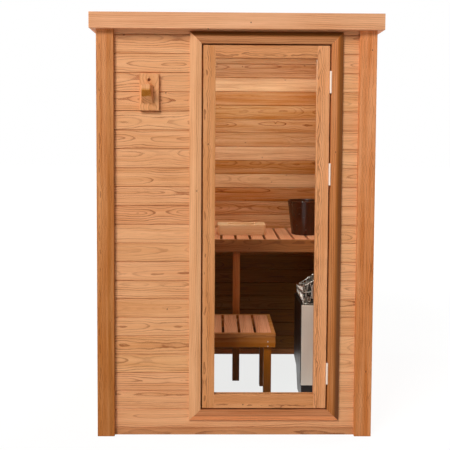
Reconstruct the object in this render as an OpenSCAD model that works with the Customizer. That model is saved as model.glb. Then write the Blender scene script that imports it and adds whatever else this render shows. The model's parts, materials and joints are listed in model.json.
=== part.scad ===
// Small indoor sauna cabin of cedar boards: four grooved corner posts, board walls on a sill,
// a flat roof behind a fascia, a glazed door on three butt hinges, two benches and a heater.
// The cabin's front faces -Y, Z is up, and the origin is under the middle of the whole cabin.

/* [Cabin] */
// Width over the corner posts
cabin_w = 1290; // [1200:10:1800]
// Depth over the corner posts
cabin_d = 1290; // [1200:10:1800]
// Height of the walls and posts, up to the underside of the roof
wall_h = 1920; // [1900:10:2300]
// Thickness of the wall boards
wall_t = 38; // [30:1:44]
// Side of a square corner post
post_w = 80; // [70:1:100]
// Depth of the groove that takes a wall's end
groove_d = 20; // [10:1:24]
// Height of the sill strip under the wall boards
sill_h = 35; // [20:1:60]

/* [Roof] */
// Thickness of the roof panel
roof_t = 38; // [28:1:44]
// Height of the fascia board
fascia_h = 73; // [62:1:120]
// Thickness of the fascia board
fascia_t = 28; // [18:1:40]
// How far the fascia hangs below the roof panel
fascia_drop = 18; // [5:1:22]

/* [Door] */
// Width of the door leaf
door_w = 582; // [480:2:640]
// Height of the door leaf
door_h = 1695; // [1500:5:1740]
// Height of the leaf's lower edge above the floor
door_z = 137; // [120:1:150]
// Middle of the leaf, to the right of the cabin's middle
door_x = 137; // [80:1:150]
// Thickness of the leaf
leaf_t = 36; // [30:1:40]
// Gap between the leaf and its frame
door_gap = 7; // [6.5:0.5:8]
// How far the leaf's face lies behind the casing's
leaf_set = 3; // [0:0.5:5]
// Width of the two stiles
stile_w = 57; // [45:1:80]
// Height of the top rail
top_rail_h = 57; // [45:1:90]
// Height of the bottom rail
bottom_rail_h = 63; // [45:1:120]
// Thickness of the glass
glass_t = 6; // [4:0.5:8]
// Depth of the groove that holds the glass
glass_groove = 10; // [6:1:16]
// Thickness of the jamb boards that line the doorway
jamb_t = 20; // [15:1:24]
// How far the stop reaches behind the leaf's edge
stop_lap = 12; // [8:1:20]
// Thickness of the stop
stop_t = 13; // [8:1:14]

/* [Casing] */
// Width of the casing around the doorway
casing_w = 56; // [40:1:60]
// Thickness of the casing along its flat inner band
casing_t = 24; // [18:1:30]
// Width of that flat band
casing_flat = 25; // [15:1:32]
// Thickness left at the outer edge of the chamfer
casing_edge = 10; // [5:1:14]

/* [Hinges] */
// Height of a hinge
hinge_h = 102; // [80:1:120]
// Radius of the hinge barrel
barrel_r = 5; // [4:0.5:6]
// Radius of the hinge pin
pin_r = 2.5; // [2:0.5:3]
// Width of a hinge leaf, from the pin into the frame
hinge_leaf_w = 32; // [20:1:34]
// Thickness of a hinge leaf
hinge_leaf_t = 2; // [1:0.5:2.5]
// Middle of the top hinge, below the leaf's upper edge
hinge_top = 166; // [100:1:300]
// Middle of the second hinge, below the leaf's upper edge
hinge_second = 590; // [430:1:800]
// Middle of the bottom hinge, above the leaf's lower edge
hinge_bottom = 168; // [100:1:300]

/* [Benches] */
// Width of a bench slat
slat_w = 70; // [50:1:90]
// Gap between slats
slat_gap = 14; // [8:1:20]
// Thickness of a slat
slat_t = 20; // [16:1:28]
// Height of the apron boards
apron_h = 72; // [60:1:100]
// Thickness of the apron boards
apron_t = 20; // [16:1:28]
// Side of the rails and ledgers under the slats
rail_w = 38; // [28:1:45]
// Width of a bench leg
leg_w = 40; // [30:1:50]
// Height of the upper bench
upper_h = 829; // [700:1:900]
// Depth of the upper bench, from the back wall to the face of its apron
upper_d = 512; // [420:1:560]
// Middle of the upper bench's leg, to the right of the cabin's middle
upper_leg_x = 26; // [-100:1:150]
// Space between the left wall and the upper bench's first slat
upper_slat_start = 27; // [2:1:60]
// Height of the lower bench
lower_h = 401; // [350:1:450]
// Depth of the lower bench
lower_d = 391; // [300:1:400]
// Space between the two benches, seen from above
bench_gap = 9; // [5:1:40]
// Clear way between the lower bench's end and the right wall
lower_clear = 368; // [340:1:600]
// Width of the slat beside the lower bench's end board
end_slat_w = 76; // [50:1:90]

/* [Heater] */
// Width of the heater
heater_w = 212; // [180:1:230]
// Depth of the heater
heater_d = 310; // [240:1:320]
// Space between the heater and the right wall
heater_gap = 15; // [10:1:60]
// Face of the heater's cover, behind the inside of the front wall
heater_front = 337; // [250:1:345]
// Height of the heater's foot
foot_h = 100; // [60:1:140]
// Height of the heater's body
heater_body_h = 428; // [350:1:450]
// Height of the stone guard above the body
guard_h = 165; // [100:1:180]
// Radius of the guard's wires
wire_r = 2.5; // [1.5:0.5:4]

/* [Hook] */
// Width of the hook's back plate
hook_w = 89; // [70:1:110]
// Height of the back plate
hook_h = 168; // [130:1:200]
// Thickness of the back plate
hook_t = 20; // [12:1:25]
// Middle of the plate, to the left of the cabin's middle
hook_x = 402; // [360:1:420]
// Height of the plate's lower edge
hook_z = 1532; // [1300:1:1650]
// How far the peg stands out from the plate
peg_reach = 60; // [30:1:90]

/* [Bench things] */
// Length of the wooden basin
basin_w = 287; // [200:1:330]
// Depth of the basin
basin_d = 150; // [120:1:200]
// Height of the basin
basin_h = 62; // [45:1:90]
// Middle of the basin, to the right of the cabin's middle
basin_x = 61; // [0:1:100]
// Front of the basin, behind the face of the upper bench
basin_y = 175; // [60:1:250]
// Radius of the bucket at its rim
bucket_r = 110; // [90:1:120]
// Radius of the bucket at its foot
bucket_foot_r = 84; // [70:1:90]
// Height of the bucket
bucket_h = 205; // [160:1:240]
// Thickness of the bucket's wall
bucket_t = 4; // [3:0.5:8]
// Space between the bucket's rim and the right wall
bucket_gap = 25; // [10:1:60]
// Middle of the bucket, behind the face of the upper bench
bucket_y = 260; // [150:1:330]

/* [Hidden] */

CEDAR = "#CF9466";
CEDAR_DARK = "#A0693F";
STEEL = "#C9C4BC";
BLACK = "#2A2522";

fit = 0.3;                        // clearance where a piece sits in a groove
swing = 0.4;                      // clearance between turning knuckles
cut = 1;                          // how far a cutting shape runs past a face
round_fn = 48;
post_side = (post_w - wall_t) / 2;            // from a post's face to the wall's face
wall_x = cabin_w / 2 - post_side;             // outer face of a side wall
wall_y = cabin_d / 2 - post_side;             // outer face of the front or back wall
room_x = wall_x - wall_t;                     // inner face of a side wall
room_y = wall_y - wall_t;                     // inner face of the front or back wall
span_x = cabin_w - 2 * post_w + 2 * groove_d; // length of the front and back walls
span_y = cabin_d - 2 * post_w + 2 * groove_d; // length of the side walls
fascia_z = wall_h - fascia_drop;
hook_front = wall_y + hook_t + peg_reach;
eaves_y = cabin_d / 2 + fascia_t;
y_shift = max(hook_front - eaves_y, 0) / 2;   // puts the origin under the middle of it all

door_left = door_x - door_w / 2;
door_right = door_x + door_w / 2;
door_top = door_z + door_h;
open_left = door_left - door_gap;
open_right = door_right + door_gap;
open_bottom = door_z - door_gap;
open_top = door_top + door_gap;
leaf_y = -wall_y - casing_t + leaf_set;       // front face of the leaf
leaf_back = leaf_y + leaf_t;
stop_y = leaf_back + door_gap;                // front face of the stop
jamb_back = max(-room_y, stop_y + stop_t);    // the jamb boards reach the room or their own stop
glass_y = leaf_y + leaf_t / 2;
hinge_x = (door_right + open_right) / 2;
hinge_y = leaf_y - barrel_r;
hinge_z = [door_top - hinge_top, door_top - hinge_second, door_z + hinge_bottom];
knuckles = 5;
knuckle_h = hinge_h / knuckles;

upper_y = room_y - upper_d;                   // face of the upper bench's apron
lower_y = upper_y - bench_gap - lower_d;      // face of the lower bench's apron
lower_end = room_x - lower_clear;             // right end of the lower bench
slat_pitch = slat_w + slat_gap;
slat_least = 30;                              // narrowest slat worth fitting
between_posts = cabin_w / 2 - post_w;         // from the middle to a corner post, across
between_posts_y = min(cabin_d / 2 - post_w, room_y - rail_w);  // the same along, clear of a ledger

heater_right = room_x - heater_gap;
heater_left = heater_right - heater_w;
heater_y = -room_y + heater_front;
cover_t = 18;                                 // depth of the heater's front cover
heater_top = foot_h + heater_body_h;
bucket_x = room_x - bucket_gap - bucket_r;

module in_frame() {
    translate([0, y_shift, 0]) children();
}

// A box from its lowest to its highest corner.
module block(low, high) {
    translate(low) cube(high - low);
}

// --- Posts, sills, walls ---

module corner_post(side_x, side_y) {
    in_frame() color(CEDAR)
    mirror([side_x < 0 ? 1 : 0, 0, 0]) mirror([0, side_y < 0 ? 1 : 0, 0])
    difference() {
        block([cabin_w / 2 - post_w, cabin_d / 2 - post_w, 0], [cabin_w / 2, cabin_d / 2, wall_h]);
        block([cabin_w / 2 - post_w - cut, room_y, -cut],
            [cabin_w / 2 - post_w + groove_d, wall_y, wall_h + cut]);
        block([room_x, cabin_d / 2 - post_w - cut, -cut],
            [wall_x, cabin_d / 2 - post_w + groove_d, wall_h + cut]);
    }
}

module base_sills() {
    in_frame() color(CEDAR_DARK) {
        for (side = [-1, 1]) {
            translate([0, side * (wall_y - wall_t / 2), sill_h / 2])
                cube([span_x, wall_t, sill_h], center = true);
            translate([side * (wall_x - wall_t / 2), 0, sill_h / 2])
                cube([wall_t, span_y, sill_h], center = true);
        }
    }
}

module side_wall(side) {
    in_frame() color(CEDAR)
    translate([side * (wall_x - wall_t / 2), 0, (sill_h + wall_h) / 2])
        cube([wall_t, span_y, wall_h - sill_h], center = true);
}

module back_wall() {
    in_frame() color(CEDAR) block([-span_x / 2, room_y, sill_h], [span_x / 2, wall_y, wall_h]);
}

// One part of the front wall, between two places across and up.
module front_wall(left, right, low, high) {
    in_frame() color(CEDAR) block([left, -wall_y, low], [right, -room_y, high]);
}

// --- Roof and fascia ---

module roof_panel() {
    in_frame() color(CEDAR)
    block([-cabin_w / 2, -cabin_d / 2, wall_h], [cabin_w / 2, cabin_d / 2, wall_h + roof_t]);
}

// The front and back boards run past the corners; the side boards fit between them.
module fascia_across(side) {
    in_frame() color(CEDAR)
    translate([0, side * (cabin_d + fascia_t) / 2, fascia_z + fascia_h / 2])
        cube([cabin_w + 2 * fascia_t, fascia_t, fascia_h], center = true);
}

module fascia_along(side) {
    in_frame() color(CEDAR)
    translate([side * (cabin_w + fascia_t) / 2, 0, fascia_z + fascia_h / 2])
        cube([fascia_t, cabin_d, fascia_h], center = true);
}

// --- Doorway ---

// A jamb board lines the wall from the casing's back to the room, with its stop behind the leaf.
module door_jamb(side) {
    face = side < 0 ? open_left : open_right;
    stop_face = side < 0 ? door_left + stop_lap : door_right - stop_lap;
    in_frame() color(CEDAR)
    difference() {
        union() {
            block([min(face, face + side * jamb_t), -wall_y, open_bottom],
                [max(face, face + side * jamb_t), jamb_back, open_top]);
            block([min(face, stop_face), stop_y, open_bottom],
                [max(face, stop_face), stop_y + stop_t, open_top]);
        }
        if (side > 0) hinge_pockets(open_right, 1);
    }
}

// The head and the threshold run the full width, over and under the jambs.
module door_head() {
    in_frame() color(CEDAR) {
        block([open_left - jamb_t, -wall_y, open_top], [open_right + jamb_t, jamb_back, open_top + jamb_t]);
        block([door_left + stop_lap, stop_y, door_top - stop_lap],
            [door_right - stop_lap, stop_y + stop_t, open_top]);
    }
}

module door_threshold() {
    in_frame() color(CEDAR) {
        block([open_left - jamb_t, -wall_y, open_bottom - jamb_t],
            [open_right + jamb_t, jamb_back, open_bottom]);
        block([door_left + stop_lap, stop_y, open_bottom],
            [door_right - stop_lap, stop_y + stop_t, door_z + stop_lap]);
    }
}

// A mitred length of casing: flat along its inner edge at y = 0, chamfered to the outer edge.
module casing_length(length) {
    intersection() {
        translate([-casing_w, 0, 0]) rotate([90, 0, 90])
            linear_extrude(length + 2 * casing_w)
            polygon([[0, 0], [casing_w, 0], [casing_w, casing_edge], [casing_flat, casing_t], [0, casing_t]]);
        linear_extrude(casing_t)
            polygon([[0, 0], [length, 0], [length + casing_w, casing_w], [-casing_w, casing_w]]);
    }
}

// Stands a length of casing on the wall's face, its inner edge along the line from a point.
module casing_on_wall(x, z, turn) {
    in_frame() color(CEDAR)
    translate([x, -wall_y, z]) rotate([90, 0, 0]) rotate([0, 0, turn]) children();
}

open_w = open_right - open_left;
open_h = open_top - open_bottom;

module casing_top() {
    casing_on_wall(open_left, open_top, 0) casing_length(open_w);
}

module casing_bottom() {
    casing_on_wall(open_right, open_bottom, 180) casing_length(open_w);
}

module casing_left() {
    casing_on_wall(open_left, open_bottom, 90) casing_length(open_h);
}

module casing_right() {
    difference() {
        casing_on_wall(open_right, open_top, -90) casing_length(open_h);
        in_frame() hinge_pockets(open_right, 1);
    }
}

// --- Door leaf ---

// Shallow pockets that take the hinge leaves, cut into a face across x.
module hinge_pockets(face, side) {
    for (z = hinge_z)
        block([side > 0 ? face - cut : face - hinge_leaf_t, hinge_y - cut, z - hinge_h / 2],
            [side > 0 ? face + hinge_leaf_t : face + cut, hinge_y + hinge_leaf_w, z + hinge_h / 2]);
}

module glass_groove_cut() {
    block([door_left + stile_w - glass_groove - fit, glass_y - glass_t / 2 - fit,
            door_z + bottom_rail_h - glass_groove - fit],
        [door_right - stile_w + glass_groove + fit, glass_y + glass_t / 2 + fit,
            door_top - top_rail_h + glass_groove + fit]);
}

module door_stile(side) {
    left = side < 0 ? door_left : door_right - stile_w;
    in_frame() color(CEDAR)
    difference() {
        block([left, leaf_y, door_z], [left + stile_w, leaf_back, door_top]);
        glass_groove_cut();
        if (side > 0) hinge_pockets(door_right, -1);
    }
}

module door_rail(low, high) {
    in_frame() color(CEDAR)
    difference() {
        block([door_left + stile_w, leaf_y, low], [door_right - stile_w, leaf_back, high]);
        glass_groove_cut();
    }
}

module door_glass() {
    in_frame() color("#D8E2DC", 0.35)
    block([door_left + stile_w - glass_groove, glass_y - glass_t / 2, door_z + bottom_rail_h - glass_groove],
        [door_right - stile_w + glass_groove, glass_y + glass_t / 2, door_top - top_rail_h + glass_groove]);
}

// --- Hinges ---

// The knuckles of one hinge, counted from the bottom.
module knuckle_row(first) {
    for (i = [first : 2 : knuckles - 1])
        translate([hinge_x, hinge_y, i * knuckle_h - hinge_h / 2 + swing / 2])
            cylinder(r = barrel_r, h = knuckle_h - swing, $fn = round_fn);
}

// Keeps a hinge leaf clear of the other leaf's knuckles.
module knuckle_room(first) {
    for (i = [first : 2 : knuckles - 1])
        translate([hinge_x, hinge_y, i * knuckle_h - hinge_h / 2 - swing / 2])
            cylinder(r = barrel_r + swing, h = knuckle_h + swing, $fn = round_fn);
}

module hinges_on_frame() {
    in_frame() color(STEEL)
    for (z = hinge_z) translate([0, 0, z]) {
        knuckle_row(0);
        translate([hinge_x, hinge_y, -hinge_h / 2 + swing / 2])
            cylinder(r = pin_r, h = hinge_h - swing, $fn = round_fn);
        difference() {
            block([open_right, hinge_y, -hinge_h / 2 + swing / 2],
                [open_right + hinge_leaf_t, hinge_y + hinge_leaf_w, hinge_h / 2 - swing / 2]);
            knuckle_room(1);
        }
    }
}

module hinges_on_door() {
    in_frame() color(STEEL)
    for (z = hinge_z) translate([0, 0, z]) difference() {
        union() {
            knuckle_row(1);
            difference() {
                block([door_right - hinge_leaf_t, hinge_y, -hinge_h / 2 + swing / 2],
                    [door_right, hinge_y + hinge_leaf_w, hinge_h / 2 - swing / 2]);
                knuckle_room(0);
            }
        }
        translate([hinge_x, hinge_y, -hinge_h / 2])
            cylinder(r = pin_r + fit, h = hinge_h, $fn = round_fn);
    }
}

// --- Robe hook ---

peg_w = 38;          // width of the peg's end
peg_root_w = 54;     // width where it leaves the plate
peg_end_h = 27;      // height of the peg's end face
peg_low = 32;        // underside at the plate, above the plate's lower edge
peg_rise = 88;       // underside at the end, above the plate's lower edge
peg_x = 9;           // middle of the peg, left of the plate's middle
hook_hole_r = 7;
hook_hole_drop = 28; // middle of the hanging hole, below the plate's top

// A slanted wooden peg, wider at the plate than at its end.
module peg() {
    intersection() {
        rotate([90, 0, 90]) linear_extrude(peg_root_w, center = true)
            polygon([[0, peg_low], [-peg_reach, peg_rise], [-peg_reach, peg_rise + peg_end_h],
                [0, peg_rise + peg_end_h]]);
        linear_extrude(hook_h)
            polygon([[-peg_root_w / 2, 0], [-peg_w / 2, -peg_reach], [peg_w / 2, -peg_reach],
                [peg_root_w / 2, 0]]);
    }
}

module robe_hook() {
    in_frame() color(CEDAR)
    translate([-hook_x, -wall_y, hook_z]) {
        difference() {
            block([-hook_w / 2, -hook_t, 0], [hook_w / 2, 0, hook_h]);
            translate([0, cut, hook_h - hook_hole_drop]) rotate([90, 0, 0])
                cylinder(r = hook_hole_r, h = hook_t + 2 * cut, $fn = round_fn);
        }
        translate([-peg_x, -hook_t, 0]) peg();
    }
}

// --- Upper bench ---

// Slats lie across a bench from its apron to its back edge.
module slat_row(left, right, start, front, back, top) {
    for (x = [start : slat_pitch : right - slat_least])
        block([max(x, left), front, top - slat_t], [min(x + slat_w, right), back, top]);
}

module upper_bench_slats() {
    in_frame() color(CEDAR)
    slat_row(-between_posts, between_posts - fit, -room_x + upper_slat_start, upper_y + apron_t,
        room_y, upper_h);
}

module upper_bench_apron() {
    in_frame() color(CEDAR)
    block([-room_x, upper_y, upper_h - apron_h], [room_x, upper_y + apron_t, upper_h]);
}

// A rail behind the apron, one ledger on the back wall and one on each side wall.
module upper_bench_ledgers() {
    low = upper_h - slat_t - rail_w;
    high = upper_h - slat_t;
    front = upper_y + apron_t;
    in_frame() color(CEDAR) {
        block([-room_x, front, low], [room_x, front + rail_w, high]);
        block([-between_posts + fit, room_y - rail_w, low], [between_posts - fit, room_y, high]);
        for (side = [-1, 1])
            block([min(side * room_x, side * (room_x - rail_w)), front + rail_w + fit, low],
                [max(side * room_x, side * (room_x - rail_w)), between_posts_y - fit, high]);
    }
}

module upper_bench_leg() {
    front = upper_y + apron_t;
    in_frame() color(CEDAR)
    block([upper_leg_x - leg_w / 2, front, 0],
        [upper_leg_x + leg_w / 2, front + rail_w, upper_h - slat_t - rail_w]);
}

// --- Lower bench ---

lower_back = lower_y + lower_d;
lower_board = lower_end - apron_t;            // inner face of the end board
lower_last = lower_board - end_slat_w;        // left edge of the wide end slat
lower_rail = [lower_y + apron_t, lower_back - apron_t - rail_w];  // fronts of the two rails

module lower_bench_slats() {
    count = floor((lower_last + room_x) / slat_pitch);
    in_frame() color(CEDAR) {
        block([lower_last, lower_y + apron_t, lower_h - slat_t], [lower_board, lower_back - apron_t, lower_h]);
        for (i = [1 : count])
            block([lower_last - i * slat_pitch, lower_y + apron_t, lower_h - slat_t],
                [lower_last - i * slat_pitch + slat_w, lower_back - apron_t, lower_h]);
    }
}

// Apron boards in front and behind, the end board, and two rails under the slats.
module lower_bench_frame() {
    in_frame() color(CEDAR) {
        for (y = [lower_y, lower_back - apron_t])
            block([-room_x, y, lower_h - apron_h], [lower_board, y + apron_t, lower_h]);
        block([lower_board, lower_y, lower_h - apron_h], [lower_end, lower_back, lower_h]);
        for (y = lower_rail)
            block([-room_x, y, lower_h - slat_t - rail_w], [lower_board, y + rail_w, lower_h - slat_t]);
    }
}

module lower_bench_legs() {
    in_frame() color(CEDAR)
    for (y = lower_rail)
        block([lower_board - leg_w, y, 0], [lower_board, y + rail_w, lower_h - slat_t - rail_w]);
}

// --- Heater ---

foot_inset = 10;     // how far the foot draws in at the floor
foot_d = 200;        // depth of the foot
body_rise = 65;      // how far the body's underside rises to its back
cover_in = 3;        // how far the cover stands in from the body's sides
bracket_w = 120;     // width of the bracket between the body and the wall
bracket_h = 60;      // height of that bracket
bracket_drop = 60;   // bracket's upper edge, below the top of the body

// The space above a line that starts at the foot's height and rises to the heater's back.
module over_rise(front, back, low, high) {
    rise = body_rise / heater_d;
    translate([heater_left - cut, 0, 0]) rotate([90, 0, 90]) linear_extrude(heater_w + 2 * cut)
        polygon([[front, low + rise * (front - heater_y)], [back, low + rise * (back - heater_y)],
            [back, high], [front, high]]);
}

// The foot draws in towards the floor, and its top follows the body's underside.
module heater_foot() {
    front = heater_y + cover_t;
    in_frame() color(BLACK)
    difference() {
        translate([0, front + foot_d, 0]) rotate([90, 0, 0]) linear_extrude(foot_d)
            polygon([[heater_left + foot_inset, 0], [heater_right - foot_inset, 0],
                [heater_right, foot_h + body_rise], [heater_left, foot_h + body_rise]]);
        over_rise(front - cut, front + foot_d + cut, foot_h, heater_top);
    }
}

// The body hangs on a bracket on the right wall.
module heater_body() {
    front = heater_y + cover_t;
    back = heater_y + heater_d;
    middle = (front + back) / 2;
    in_frame() color(BLACK) {
        intersection() {
            block([heater_left, front, 0], [heater_right, back, heater_top]);
            over_rise(front - cut, back + cut, foot_h, heater_top);
        }
        block([heater_right, middle - bracket_w / 2, heater_top - bracket_drop - bracket_h],
            [room_x, middle + bracket_w / 2, heater_top - bracket_drop]);
    }
}

module heater_cover() {
    in_frame() color(STEEL)
    block([heater_left + cover_in, heater_y, foot_h], [heater_right - cover_in, heater_y + cover_t, heater_top]);
}

guard_in = 12;       // how far the guard's wires stand in from the heater's edges
guard_low = [heater_left + guard_in, heater_y + guard_in];
guard_high = [heater_right - guard_in, heater_y + heater_d - guard_in];

module wire_between(a, b) {
    direction = b - a;
    length = norm(direction);
    translate(a) rotate([0, acos(direction[2] / length), atan2(direction[1], direction[0])])
        cylinder(r = wire_r, h = length, $fn = 16);
}

// A ring of wire at one height, with a ball at each corner.
module guard_ring(z) {
    corners = [guard_low, [guard_high[0], guard_low[1]], guard_high, [guard_low[0], guard_high[1]]];
    for (i = [0 : 3]) {
        a = corners[i];
        b = corners[(i + 1) % 4];
        wire_between([a[0], a[1], z], [b[0], b[1], z]);
        translate([a[0], a[1], z]) sphere(r = wire_r, $fn = 16);
    }
}

module heater_guard() {
    posts_x = 4;
    posts_y = 5;
    step_x = (guard_high[0] - guard_low[0]) / (posts_x - 1);
    step_y = (guard_high[1] - guard_low[1]) / (posts_y - 1);
    in_frame() color(STEEL) {
        guard_ring(heater_top + guard_h);
        guard_ring(heater_top + guard_h / 2);
        for (i = [0 : posts_x - 1], y = [guard_low[1], guard_high[1]])
            translate([guard_low[0] + i * step_x, y, heater_top])
                cylinder(r = wire_r, h = guard_h, $fn = 16);
        for (j = [1 : posts_y - 2], x = [guard_low[0], guard_high[0]])
            translate([x, guard_low[1] + j * step_y, heater_top])
                cylinder(r = wire_r, h = guard_h, $fn = 16);
    }
}

// The heap of stones inside the guard, as one solid with sloped shoulders.
module heater_stones() {
    gap = wire_r + fit;
    shoulder = 30;
    low = [guard_low[0] + gap, guard_low[1] + gap];
    high = [guard_high[0] - gap, guard_high[1] - gap];
    in_frame() color("#5C574F")
    intersection() {
        translate([0, high[1], heater_top]) rotate([90, 0, 0]) linear_extrude(high[1] - low[1])
            polygon([[low[0], 0], [high[0], 0], [high[0], guard_h - shoulder],
                [high[0] - shoulder, guard_h - wire_r], [low[0] + shoulder, guard_h - wire_r],
                [low[0], guard_h - shoulder]]);
        block([low[0], low[1], heater_top], [high[0], high[1], heater_top + guard_h]);
    }
}

// --- Things on the upper bench ---

well_rx = 86;        // half length of the basin's oval well
well_ry = 56;        // half depth of the well
well_floor = 14;     // wood left under the well
basin_r = 20;        // radius of the basin's upright corners

module wooden_basin() {
    front = upper_y + basin_y;
    in_frame() color(CEDAR)
    translate([basin_x, front + basin_d / 2, upper_h])
    difference() {
        linear_extrude(basin_h) union() {
            square([basin_w - 2 * basin_r, basin_d], center = true);
            square([basin_w, basin_d - 2 * basin_r], center = true);
            for (x = [-1, 1], y = [-1, 1])
                translate([x * (basin_w / 2 - basin_r), y * (basin_d / 2 - basin_r)])
                    circle(r = basin_r, $fn = round_fn);
        }
        translate([0, 0, well_floor]) linear_extrude(basin_h)
            union() {
                square([2 * (well_rx - well_ry), 2 * well_ry], center = true);
                for (x = [-1, 1])
                    translate([x * (well_rx - well_ry), 0]) circle(r = well_ry, $fn = round_fn);
            }
    }
}

module water_bucket() {
    slope = (bucket_r - bucket_foot_r) / bucket_h;
    in_frame() color("#3B2012")
    translate([bucket_x, upper_y + bucket_y, upper_h])
    difference() {
        cylinder(r1 = bucket_foot_r, r2 = bucket_r, h = bucket_h, $fn = round_fn);
        translate([0, 0, bucket_t])
            cylinder(r1 = bucket_foot_r - bucket_t, r2 = bucket_r - bucket_t + slope * cut,
                h = bucket_h - bucket_t + cut, $fn = round_fn);
    }
}

corner_post(-1, -1);  // post_front_left
corner_post(1, -1);  // post_front_right
corner_post(-1, 1);  // post_back_left
corner_post(1, 1);  // post_back_right
base_sills();
side_wall(-1);  // left_wall
side_wall(1);  // right_wall
back_wall();
front_wall(-span_x / 2, open_left - jamb_t, sill_h, wall_h);  // front_wall_left
front_wall(open_right + jamb_t, span_x / 2, sill_h, wall_h);  // front_wall_right
front_wall(open_left - jamb_t, open_right + jamb_t, open_top + jamb_t, wall_h);  // front_wall_header
front_wall(open_left - jamb_t, open_right + jamb_t, sill_h, open_bottom - jamb_t);  // front_wall_under_door
roof_panel();
fascia_across(-1);  // fascia_front
fascia_across(1);  // fascia_back
fascia_along(-1);  // fascia_left
fascia_along(1);  // fascia_right
door_jamb(-1);  // door_jamb_left
door_jamb(1);  // door_jamb_right
door_head();
door_threshold();
casing_left();
casing_right();
casing_top();
casing_bottom();
door_stile(-1);  // door_stile_left
door_stile(1);  // door_stile_right
door_rail(door_top - top_rail_h, door_top);  // door_top_rail
door_rail(door_z, door_z + bottom_rail_h);  // door_bottom_rail
door_glass();
hinges_on_frame();
hinges_on_door();
robe_hook();
upper_bench_slats();
upper_bench_apron();
upper_bench_ledgers();
upper_bench_leg();
lower_bench_slats();
lower_bench_frame();
lower_bench_legs();
heater_foot();
heater_body();
heater_cover();
heater_guard();
heater_stones();
wooden_basin();
water_bucket();
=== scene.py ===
import json
import math
import random
from functools import partial

import bmesh
import bpy
from mathutils import Matrix, Vector

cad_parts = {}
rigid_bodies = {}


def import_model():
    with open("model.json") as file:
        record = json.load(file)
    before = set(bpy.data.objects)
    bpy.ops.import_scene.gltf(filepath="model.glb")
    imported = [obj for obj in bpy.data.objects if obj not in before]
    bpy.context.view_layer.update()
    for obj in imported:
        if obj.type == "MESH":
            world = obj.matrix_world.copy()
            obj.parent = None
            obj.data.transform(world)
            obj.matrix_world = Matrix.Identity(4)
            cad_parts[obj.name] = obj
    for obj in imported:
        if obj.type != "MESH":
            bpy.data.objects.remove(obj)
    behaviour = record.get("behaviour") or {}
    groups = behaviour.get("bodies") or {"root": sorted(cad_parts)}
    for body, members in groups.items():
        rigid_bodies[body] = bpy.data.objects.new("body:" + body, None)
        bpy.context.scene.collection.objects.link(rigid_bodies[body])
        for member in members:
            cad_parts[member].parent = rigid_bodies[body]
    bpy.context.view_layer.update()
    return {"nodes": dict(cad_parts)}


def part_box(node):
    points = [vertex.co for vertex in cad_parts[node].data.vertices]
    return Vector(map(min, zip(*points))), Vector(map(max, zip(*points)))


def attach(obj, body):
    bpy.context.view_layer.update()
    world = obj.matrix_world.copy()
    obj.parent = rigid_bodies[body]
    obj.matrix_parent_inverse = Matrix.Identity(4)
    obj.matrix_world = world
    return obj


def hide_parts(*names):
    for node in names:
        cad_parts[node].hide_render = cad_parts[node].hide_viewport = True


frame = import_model()

mm = 0.001
scene = bpy.context.scene
scene.view_settings.view_transform = "Standard"


# small helpers

def linear(hexColour):
    channels = [int(hexColour[i:i + 2], 16) / 255 for i in (1, 3, 5)]
    return [c / 12.92 if c <= 0.04045 else ((c + 0.055) / 1.055) ** 2.4 for c in channels] + [1.0]


def addNode(tree, kind, inputs=None, stops=None, **settings):
    # a value in inputs may be a number, a colour, a socket, or a node whose first output is used
    node = tree.nodes.new(kind)
    for name, value in settings.items():
        setattr(node, name, value)
    for name, value in (inputs or {}).items():
        source = value.outputs[0] if isinstance(value, bpy.types.Node) else value
        if isinstance(source, bpy.types.NodeSocket):
            tree.links.new(source, node.inputs[name])
        else:
            node.inputs[name].default_value = source
    if stops:
        elements = node.color_ramp.elements
        while len(elements) < len(stops):
            elements.new(1.0)
        for element, (place, shade) in zip(elements, stops):
            element.position = place
            element.color = shade if isinstance(shade, list) else [shade, shade, shade, 1.0]
    return node


def newMaterial(name):
    material = bpy.data.materials.new(name)
    material.use_nodes = True
    material.node_tree.nodes.clear()
    return material, partial(addNode, material.node_tree)


def newTree(name, sockets):
    # a Geometry Nodes tree with one geometry in, one out, and the named inputs
    tree = bpy.data.node_groups.new(name, "GeometryNodeTree")
    tree.interface.new_socket("Geometry", in_out="INPUT", socket_type="NodeSocketGeometry")
    for label, kind in sockets.items():
        tree.interface.new_socket(label, in_out="INPUT", socket_type="NodeSocket" + kind)
    tree.interface.new_socket("Geometry", in_out="OUTPUT", socket_type="NodeSocketGeometry")
    add = partial(addNode, tree)
    return tree, add, add("NodeGroupInput").outputs


def workObject(mesh):
    work = bpy.data.objects.new("work", mesh)
    scene.collection.objects.link(work)
    return work


def bake(work):
    # the evaluated object as a plain mesh; the working object goes
    bpy.context.view_layer.update()
    graph = bpy.context.evaluated_depsgraph_get()
    mesh = bpy.data.meshes.new_from_object(work.evaluated_get(graph), depsgraph=graph)
    bpy.data.objects.remove(work)
    return mesh


def runTree(tree, mesh, values):
    work = workObject(mesh)
    modifier = work.modifiers.new("tree", "NODES")
    modifier.node_group = tree
    for item in tree.interface.items_tree:
        if item.in_out == "INPUT" and item.name in values:
            modifier[item.identifier] = values[item.name]
    return bake(work)


def meshFrom(points, faces=(), edges=()):
    mesh = bpy.data.meshes.new("made")
    mesh.from_pydata([tuple(p) for p in points], edges, faces)
    mesh.update()
    return mesh


def facedOut(mesh):
    # turns every face outwards
    clean = bmesh.new()
    clean.from_mesh(mesh)
    bmesh.ops.recalc_face_normals(clean, faces=clean.faces)
    clean.to_mesh(mesh)
    clean.free()
    return mesh


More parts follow.
